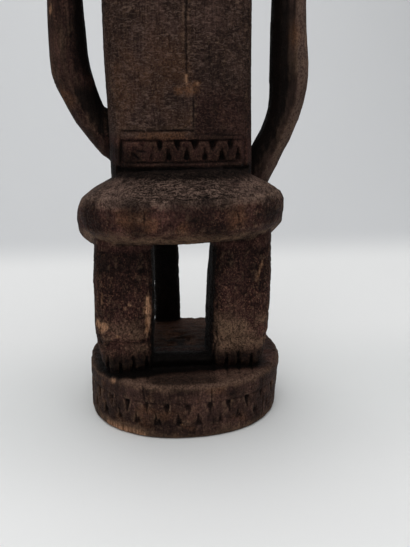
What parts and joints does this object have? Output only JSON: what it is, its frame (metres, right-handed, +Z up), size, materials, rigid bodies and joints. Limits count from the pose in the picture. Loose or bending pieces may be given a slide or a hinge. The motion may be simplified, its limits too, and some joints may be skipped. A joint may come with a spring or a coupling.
{
  "type": "ancestor figure",
  "caption": "Carved wooden standing figure: columnar torso and free arms over a thick round skirt on block legs and a rear prop, on a drum base with a chip-carved band.",
  "frame": {"origin": "middle of the base's underside, on the surface the figure stands on", "axes": "+Z up through the figure, -Y the way the face looks, +X toward the right of someone looking at the face"},
  "size_m": [0.1752, 0.1341, 0.4498],
  "materials": {
    "carved_wood": "dark dry patina, worn and crackled"
  },
  "bodies": {
    "root": {"ancestor_figure": "carved_wood"}
  },
  "joints": []
}
